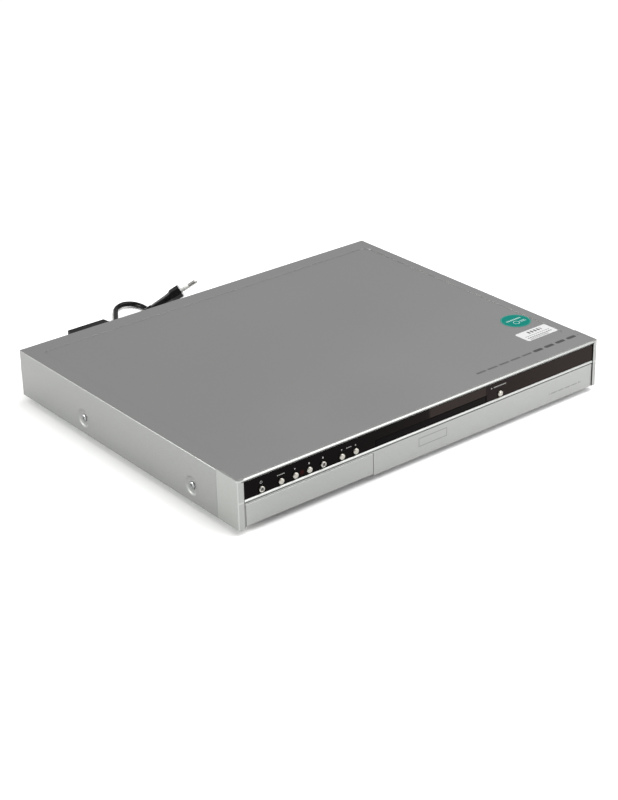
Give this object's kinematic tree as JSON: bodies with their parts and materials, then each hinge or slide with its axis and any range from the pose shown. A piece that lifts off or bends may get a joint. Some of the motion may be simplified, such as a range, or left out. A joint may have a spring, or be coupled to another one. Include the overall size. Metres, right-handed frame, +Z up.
{
  "type": "disc recorder",
  "caption": "Low silver disc recorder with a tray loader, hard disk, flap over front sockets, finned hood at the back and a coiled mains lead",
  "frame": {"origin": "on the floor under the middle of the recorder, between its frontmost and rearmost points without the mains lead", "axes": "+X to the right seen from the front, +Y to the back, +Z up; the front faces -Y"},
  "size_m": [0.43, 0.4733, 0.0532],
  "materials": {
    "cover_paint": "satin silver-grey powder coat on steel sheet",
    "zinc_steel": "zinc plated sheet steel",
    "fascia_plastic": "silver painted moulding, satin",
    "gloss_black": "polished black plastic",
    "button_chrome": "chromed button caps",
    "black_plastic": "moulded black plastic",
    "grey_plastic": "moulded grey plastic",
    "white_plastic": "natural acetal gears and slides",
    "foot_rubber": "soft moulded feet",
    "belt_rubber": "rubber drive belt",
    "board_green": "glass fibre board with solder mask",
    "cast_alloy": "cast and pressed aluminium",
    "polished_disk": "polished disk surfaces",
    "steel": "bright steel pins and rods",
    "plug_black": "smooth black lead and plug",
    "display_glass": "display tube"
  },
  "bodies": {
    "case": {"aerial_tuner": "zinc_steel", "av_jacks": "black_plastic", "bottom_chassis": "zinc_steel", "button_board": "board_green", "clamp_bridge": "zinc_steel", "cover_screws": "steel", "disk_bracket": "zinc_steel", "disk_case": "cast_alloy", "disk_lid": "cast_alloy", "display_module": "display_glass", "drive_belt": "belt_rubber", "fan_frame": "black_plastic", "fan_hood": "black_plastic", "feet": "foot_rubber", "front_fascia": "fascia_plastic", "front_window": "gloss_black", "heat_sink": "cast_alloy", "lead_bushing": "black_plastic", "lead_coil": "plug_black", "lead_loop": "plug_black", "loader_frame": "black_plastic", "main_board": "board_green", "mains_lead": "plug_black", "mains_plug": "plug_black", "phono_sockets": "black_plastic", "plug_pins": "steel", "power_board": "board_green", "power_parts": "black_plastic", "rear_panel": "zinc_steel", "scart_sockets": "black_plastic", "small_sockets": "black_plastic", "top_cover": "cover_paint", "tray_motor": "zinc_steel"},
    "tray": {"disc_tray": "black_plastic", "tray_front": "fascia_plastic"},
    "drive_gear": {"drive_gear": "white_plastic"},
    "pulley_gear": {"pulley_gear": "white_plastic"},
    "motor_pulley": {"motor_pulley": "white_plastic"},
    "cam": {"cam_slider": "white_plastic"},
    "traverse": {"traverse": "grey_plastic", "guide_rods": "steel", "sled_motor": "zinc_steel"},
    "turntable": {"turntable": "black_plastic"},
    "clamp_puck": {"clamp_puck": "black_plastic"},
    "pickup": {"pickup": "black_plastic"},
    "lead_screw": {"lead_screw": "steel"},
    "av_flap": {"av_flap": "fascia_plastic"},
    "fan_rotor": {"fan_rotor": "black_plastic"},
    "disk_platters": {"disk_platters": "polished_disk"},
    "disk_arm": {"disk_arm": "cast_alloy"},
    "power_button": {"power_button": "button_chrome"},
    "source_button": {"source_button": "button_chrome"},
    "play_button": {"play_button": "button_chrome"},
    "stop_button": {"stop_button": "button_chrome"},
    "record_button": {"record_button": "button_chrome"},
    "channel_down_button": {"channel_down_button": "button_chrome"},
    "channel_up_button": {"channel_up_button": "button_chrome"},
    "open_close_button": {"open_close_button": "button_chrome"}
  },
  "joints": [
    {"name": "tray_slide", "type": "slide", "parent": "case", "child": "tray", "axis": [0, -1, 0], "range_m": [0, 0.134]},
    {"name": "drive_gear_turn", "type": "hinge", "parent": "case", "child": "drive_gear", "pos_m": [-0.06815, -0.14065, 0.0266], "axis": [0, 0, 1], "range_deg": [-1098.8, 2]},
    {"name": "pulley_gear_turn", "type": "hinge", "parent": "case", "child": "pulley_gear", "pos_m": [-0.04895, -0.14065, 0.0232], "axis": [0, 0, 1], "range_deg": [-2, 3294.41]},
    {"name": "motor_pulley_turn", "type": "hinge", "parent": "case", "child": "motor_pulley", "pos_m": [-0.014, -0.15265, 0.0232], "axis": [0, 0, 1], "range_deg": [-4, 14266.46]},
    {"name": "cam_slide", "type": "slide", "parent": "case", "child": "cam", "axis": [1, 0, 0], "range_m": [0, 0.0141]},
    {"name": "traverse_tilt", "type": "hinge", "parent": "case", "child": "traverse", "pos_m": [0.00285, 0.00235, 0.023], "axis": [1, 0, 0], "range_deg": [0, 3.04]},
    {"name": "disc_spin", "type": "hinge", "parent": "traverse", "child": "turntable", "pos_m": [0.00285, -0.10865, 0.0353], "axis": [0, 0, 1], "continuous": true},
    {"name": "puck_spin", "type": "hinge", "parent": "case", "child": "clamp_puck", "pos_m": [0.00285, -0.10865, 0.042], "axis": [0, 0, 1], "continuous": true},
    {"name": "pickup_slide", "type": "slide", "parent": "traverse", "child": "pickup", "axis": [0, 1, 0], "range_m": [0, 0.034]},
    {"name": "lead_screw_turn", "type": "hinge", "parent": "traverse", "child": "lead_screw", "pos_m": [0.03585, -0.09065, 0.026], "axis": [0, 1, 0], "range_deg": [-2, 4084]},
    {"name": "av_flap_hinge", "type": "hinge", "parent": "case", "child": "av_flap", "pos_m": [-0.13665, -0.17835, 0.0086], "axis": [1, 0, 0], "range_deg": [0, 85]},
    {"name": "fan_spin", "type": "hinge", "parent": "case", "child": "fan_rotor", "pos_m": [-0.13, 0.15865, 0.03], "axis": [0, 1, 0], "continuous": true},
    {"name": "platter_spin", "type": "hinge", "parent": "case", "child": "disk_platters", "pos_m": [0.1468, -0.06665, 0.024], "axis": [0, 0, 1], "continuous": true},
    {"name": "disk_arm_swing", "type": "hinge", "parent": "case", "child": "disk_arm", "pos_m": [0.1768, -0.01665, 0.024], "axis": [0, 0, 1], "range_deg": [-20, 0]},
    {"name": "power_button_press", "type": "slide", "parent": "case", "child": "power_button", "axis": [0, 1, 0], "range_m": [0, 0.0008], "stiffness_N_per_m": 300, "springref_m": -0.0004},
    {"name": "source_button_press", "type": "slide", "parent": "case", "child": "source_button", "axis": [0, 1, 0], "range_m": [0, 0.0008], "stiffness_N_per_m": 300, "springref_m": -0.0004},
    {"name": "play_button_press", "type": "slide", "parent": "case", "child": "play_button", "axis": [0, 1, 0], "range_m": [0, 0.0008], "stiffness_N_per_m": 300, "springref_m": -0.0004},
    {"name": "stop_button_press", "type": "slide", "parent": "case", "child": "stop_button", "axis": [0, 1, 0], "range_m": [0, 0.0008], "stiffness_N_per_m": 300, "springref_m": -0.0004},
    {"name": "record_button_press", "type": "slide", "parent": "case", "child": "record_button", "axis": [0, 1, 0], "range_m": [0, 0.0008], "stiffness_N_per_m": 300, "springref_m": -0.0004},
    {"name": "channel_down_button_press", "type": "slide", "parent": "case", "child": "channel_down_button", "axis": [0, 1, 0], "range_m": [0, 0.0008], "stiffness_N_per_m": 300, "springref_m": -0.0004},
    {"name": "channel_up_button_press", "type": "slide", "parent": "case", "child": "channel_up_button", "axis": [0, 1, 0], "range_m": [0, 0.0008], "stiffness_N_per_m": 300, "springref_m": -0.0004},
    {"name": "open_close_button_press", "type": "slide", "parent": "case", "child": "open_close_button", "axis": [0, 1, 0], "range_m": [0, 0.0008], "stiffness_N_per_m": 300, "springref_m": -0.0004}
  ],
  "couplings": [
    {"joint": "drive_gear_turn", "follows": "tray_slide", "rad_per_m": -142.86},
    {"joint": "pulley_gear_turn", "follows": "tray_slide", "rad_per_m": 428.57},
    {"joint": "motor_pulley_turn", "follows": "tray_slide", "rad_per_m": 1857.1},
    {"joint": "cam_slide", "follows": "tray_slide", "ratio": 0.10448},
    {"joint": "traverse_tilt", "follows": "tray_slide", "rad_per_m": 0.39382},
    {"joint": "puck_spin", "follows": "disc_spin", "ratio": 1},
    {"joint": "lead_screw_turn", "follows": "pickup_slide", "rad_per_m": 2094.4}
  ]
}
